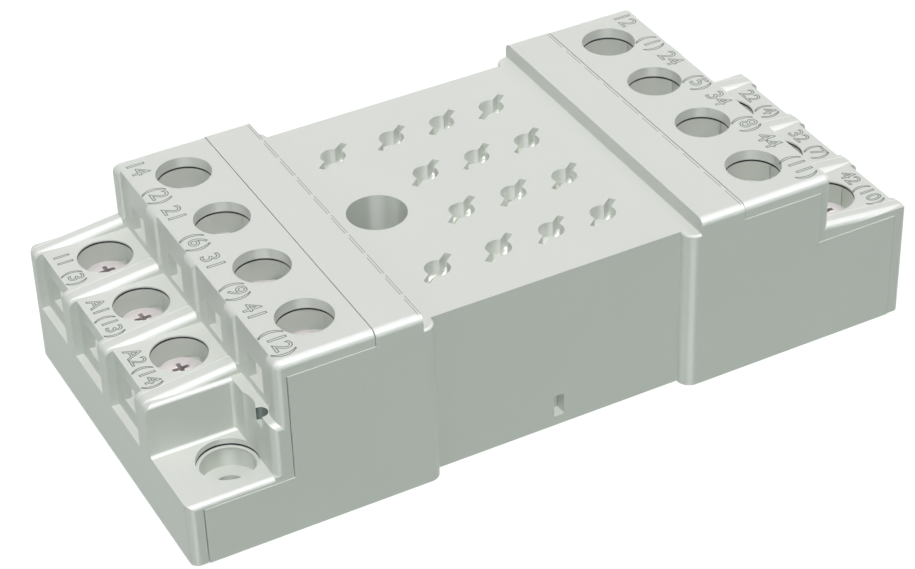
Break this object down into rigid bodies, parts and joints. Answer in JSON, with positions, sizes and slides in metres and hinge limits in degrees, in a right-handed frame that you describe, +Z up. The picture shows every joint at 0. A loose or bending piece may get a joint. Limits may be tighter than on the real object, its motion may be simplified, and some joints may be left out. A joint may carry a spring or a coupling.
{
  "type": "relay socket",
  "caption": "Panel-mounted plug-in relay socket: a plateau of keyhole slots between stepped blocks of screw terminals with lifting wire clamps and corner mounting holes.",
  "frame": {"origin": "middle of the flat underside", "axes": "+Z up out of the panel, +X along the socket towards the end with terminals 12, 24, 34 and 44"},
  "size_m": [0.0864, 0.042, 0.0215],
  "materials": {
    "moulding": "fine matt grey moulding",
    "base": "fine matt grey moulding",
    "screw_steel": "bright zinc plate",
    "clamp_steel": "zinc plate",
    "contact_metal": "tinned brass strip"
  },
  "bodies": {
    "socket": {"housing": "moulding", "base_plate": "base", "terminal_cover_left": "moulding", "terminal_cover_right": "moulding", "contact_strip_11": "contact_metal", "contact_strip_12": "contact_metal", "contact_strip_14": "contact_metal", "contact_strip_21": "contact_metal", "contact_strip_22": "contact_metal", "contact_strip_24": "contact_metal", "contact_strip_31": "contact_metal", "contact_strip_32": "contact_metal", "contact_strip_34": "contact_metal", "contact_strip_41": "contact_metal", "contact_strip_42": "contact_metal", "contact_strip_44": "contact_metal", "contact_strip_A1": "contact_metal", "contact_strip_A2": "contact_metal"},
    "clamp_11": {"wire_clamp_11": "clamp_steel"},
    "screw_11": {"terminal_screw_11": "screw_steel"},
    "clamp_12": {"wire_clamp_12": "clamp_steel"},
    "screw_12": {"terminal_screw_12": "screw_steel"},
    "clamp_14": {"wire_clamp_14": "clamp_steel"},
    "screw_14": {"terminal_screw_14": "screw_steel"},
    "clamp_21": {"wire_clamp_21": "clamp_steel"},
    "screw_21": {"terminal_screw_21": "screw_steel"},
    "clamp_22": {"wire_clamp_22": "clamp_steel"},
    "screw_22": {"terminal_screw_22": "screw_steel"},
    "clamp_24": {"wire_clamp_24": "clamp_steel"},
    "screw_24": {"terminal_screw_24": "screw_steel"},
    "clamp_31": {"wire_clamp_31": "clamp_steel"},
    "screw_31": {"terminal_screw_31": "screw_steel"},
    "clamp_32": {"wire_clamp_32": "clamp_steel"},
    "screw_32": {"terminal_screw_32": "screw_steel"},
    "clamp_34": {"wire_clamp_34": "clamp_steel"},
    "screw_34": {"terminal_screw_34": "screw_steel"},
    "clamp_41": {"wire_clamp_41": "clamp_steel"},
    "screw_41": {"terminal_screw_41": "screw_steel"},
    "clamp_42": {"wire_clamp_42": "clamp_steel"},
    "screw_42": {"terminal_screw_42": "screw_steel"},
    "clamp_44": {"wire_clamp_44": "clamp_steel"},
    "screw_44": {"terminal_screw_44": "screw_steel"},
    "clamp_A1": {"wire_clamp_A1": "clamp_steel"},
    "screw_A1": {"terminal_screw_A1": "screw_steel"},
    "clamp_A2": {"wire_clamp_A2": "clamp_steel"},
    "screw_A2": {"terminal_screw_A2": "screw_steel"}
  },
  "joints": [
    {"name": "clamp_lift_11", "type": "slide", "parent": "socket", "child": "clamp_11", "axis": [0, 0, 1], "range_m": [0, 0.0026]},
    {"name": "screw_turn_11", "type": "hinge", "parent": "clamp_11", "child": "screw_11", "pos_m": [-0.03655, 0.015, 0.0115], "axis": [0, 0, 1], "range_deg": [0, 1872.1]},
    {"name": "clamp_lift_12", "type": "slide", "parent": "socket", "child": "clamp_12", "axis": [0, 0, 1], "range_m": [0, 0.0026]},
    {"name": "screw_turn_12", "type": "hinge", "parent": "clamp_12", "child": "screw_12", "pos_m": [0.0266, 0.015, 0.01775], "axis": [0, 0, 1], "range_deg": [0, 1872.1]},
    {"name": "clamp_lift_14", "type": "slide", "parent": "socket", "child": "clamp_14", "axis": [0, 0, 1], "range_m": [0, 0.0026]},
    {"name": "screw_turn_14", "type": "hinge", "parent": "clamp_14", "child": "screw_14", "pos_m": [-0.0266, 0.015, 0.01775], "axis": [0, 0, 1], "range_deg": [0, 1872.1]},
    {"name": "clamp_lift_21", "type": "slide", "parent": "socket", "child": "clamp_21", "axis": [0, 0, 1], "range_m": [0, 0.0026]},
    {"name": "screw_turn_21", "type": "hinge", "parent": "clamp_21", "child": "screw_21", "pos_m": [-0.0266, 0.005, 0.01775], "axis": [0, 0, 1], "range_deg": [0, 1872.1]},
    {"name": "clamp_lift_22", "type": "slide", "parent": "socket", "child": "clamp_22", "axis": [0, 0, 1], "range_m": [0, 0.0026]},
    {"name": "screw_turn_22", "type": "hinge", "parent": "clamp_22", "child": "screw_22", "pos_m": [0.03655, 0.005, 0.0115], "axis": [0, 0, 1], "range_deg": [0, 1872.1]},
    {"name": "clamp_lift_24", "type": "slide", "parent": "socket", "child": "clamp_24", "axis": [0, 0, 1], "range_m": [0, 0.0026]},
    {"name": "screw_turn_24", "type": "hinge", "parent": "clamp_24", "child": "screw_24", "pos_m": [0.0266, 0.005, 0.01775], "axis": [0, 0, 1], "range_deg": [0, 1872.1]},
    {"name": "clamp_lift_31", "type": "slide", "parent": "socket", "child": "clamp_31", "axis": [0, 0, 1], "range_m": [0, 0.0026]},
    {"name": "screw_turn_31", "type": "hinge", "parent": "clamp_31", "child": "screw_31", "pos_m": [-0.0266, -0.005, 0.01775], "axis": [0, 0, 1], "range_deg": [0, 1872.1]},
    {"name": "clamp_lift_32", "type": "slide", "parent": "socket", "child": "clamp_32", "axis": [0, 0, 1], "range_m": [0, 0.0026]},
    {"name": "screw_turn_32", "type": "hinge", "parent": "clamp_32", "child": "screw_32", "pos_m": [0.03655, -0.005, 0.0115], "axis": [0, 0, 1], "range_deg": [0, 1872.1]},
    {"name": "clamp_lift_34", "type": "slide", "parent": "socket", "child": "clamp_34", "axis": [0, 0, 1], "range_m": [0, 0.0026]},
    {"name": "screw_turn_34", "type": "hinge", "parent": "clamp_34", "child": "screw_34", "pos_m": [0.0266, -0.005, 0.01775], "axis": [0, 0, 1], "range_deg": [0, 1872.1]},
    {"name": "clamp_lift_41", "type": "slide", "parent": "socket", "child": "clamp_41", "axis": [0, 0, 1], "range_m": [0, 0.0026]},
    {"name": "screw_turn_41", "type": "hinge", "parent": "clamp_41", "child": "screw_41", "pos_m": [-0.0266, -0.015, 0.01775], "axis": [0, 0, 1], "range_deg": [0, 1872.1]},
    {"name": "clamp_lift_42", "type": "slide", "parent": "socket", "child": "clamp_42", "axis": [0, 0, 1], "range_m": [0, 0.0026]},
    {"name": "screw_turn_42", "type": "hinge", "parent": "clamp_42", "child": "screw_42", "pos_m": [0.03655, -0.015, 0.0115], "axis": [0, 0, 1], "range_deg": [0, 1872.1]},
    {"name": "clamp_lift_44", "type": "slide", "parent": "socket", "child": "clamp_44", "axis": [0, 0, 1], "range_m": [0, 0.0026]},
    {"name": "screw_turn_44", "type": "hinge", "parent": "clamp_44", "child": "screw_44", "pos_m": [0.0266, -0.015, 0.01775], "axis": [0, 0, 1], "range_deg": [0, 1872.1]},
    {"name": "clamp_lift_A1", "type": "slide", "parent": "socket", "child": "clamp_A1", "axis": [0, 0, 1], "range_m": [0, 0.0026]},
    {"name": "screw_turn_A1", "type": "hinge", "parent": "clamp_A1", "child": "screw_A1", "pos_m": [-0.03655, 0.005, 0.0115], "axis": [0, 0, 1], "range_deg": [0, 1872.1]},
    {"name": "clamp_lift_A2", "type": "slide", "parent": "socket", "child": "clamp_A2", "axis": [0, 0, 1], "range_m": [0, 0.0026]},
    {"name": "screw_turn_A2", "type": "hinge", "parent": "clamp_A2", "child": "screw_A2", "pos_m": [-0.03655, -0.005, 0.0115], "axis": [0, 0, 1], "range_deg": [0, 1872.1]}
  ],
  "couplings": [
    {"joint": "screw_turn_11", "follows": "clamp_lift_11", "rad_per_m": 12566},
    {"joint": "screw_turn_12", "follows": "clamp_lift_12", "rad_per_m": 12566},
    {"joint": "screw_turn_14", "follows": "clamp_lift_14", "rad_per_m": 12566},
    {"joint": "screw_turn_21", "follows": "clamp_lift_21", "rad_per_m": 12566},
    {"joint": "screw_turn_22", "follows": "clamp_lift_22", "rad_per_m": 12566},
    {"joint": "screw_turn_24", "follows": "clamp_lift_24", "rad_per_m": 12566},
    {"joint": "screw_turn_31", "follows": "clamp_lift_31", "rad_per_m": 12566},
    {"joint": "screw_turn_32", "follows": "clamp_lift_32", "rad_per_m": 12566},
    {"joint": "screw_turn_34", "follows": "clamp_lift_34", "rad_per_m": 12566},
    {"joint": "screw_turn_41", "follows": "clamp_lift_41", "rad_per_m": 12566},
    {"joint": "screw_turn_42", "follows": "clamp_lift_42", "rad_per_m": 12566},
    {"joint": "screw_turn_44", "follows": "clamp_lift_44", "rad_per_m": 12566},
    {"joint": "screw_turn_A1", "follows": "clamp_lift_A1", "rad_per_m": 12566},
    {"joint": "screw_turn_A2", "follows": "clamp_lift_A2", "rad_per_m": 12566}
  ]
}
